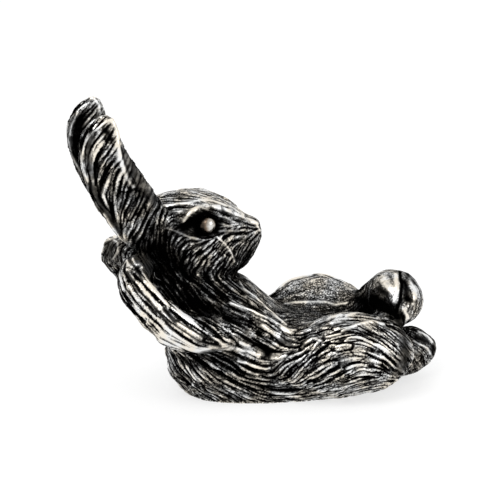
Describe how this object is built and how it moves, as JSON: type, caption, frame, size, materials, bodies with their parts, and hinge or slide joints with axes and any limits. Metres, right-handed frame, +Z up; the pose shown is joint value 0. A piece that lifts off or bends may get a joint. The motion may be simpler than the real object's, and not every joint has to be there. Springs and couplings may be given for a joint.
{
  "type": "pewter rabbit figurine",
  "caption": "Cast pewter rabbit ornament lying back with its arms folded behind its head, ears swept back and one leg crossed over the other, on a flat underside.",
  "frame": {"origin": "on the table plane under the hips, in the middle plane of the body, on the flat underside", "axes": "+X towards the feet, +Y to the rabbit's left, +Z up"},
  "size_m": [0.0763, 0.0398, 0.0613],
  "materials": {
    "antique_pewter": "cast pewter, blackened in the grooves and rubbed bright on the high places",
    "polished_pewter": "polished pewter bead"
  },
  "bodies": {
    "root": {"torso": "antique_pewter", "head": "antique_pewter", "ear_left": "antique_pewter", "ear_right": "antique_pewter", "eye_left": "polished_pewter", "eye_right": "polished_pewter", "arm_left": "antique_pewter", "arm_right": "antique_pewter", "thigh_left": "antique_pewter", "thigh_right": "antique_pewter", "foot_left": "antique_pewter", "foot_right": "antique_pewter"}
  },
  "joints": []
}
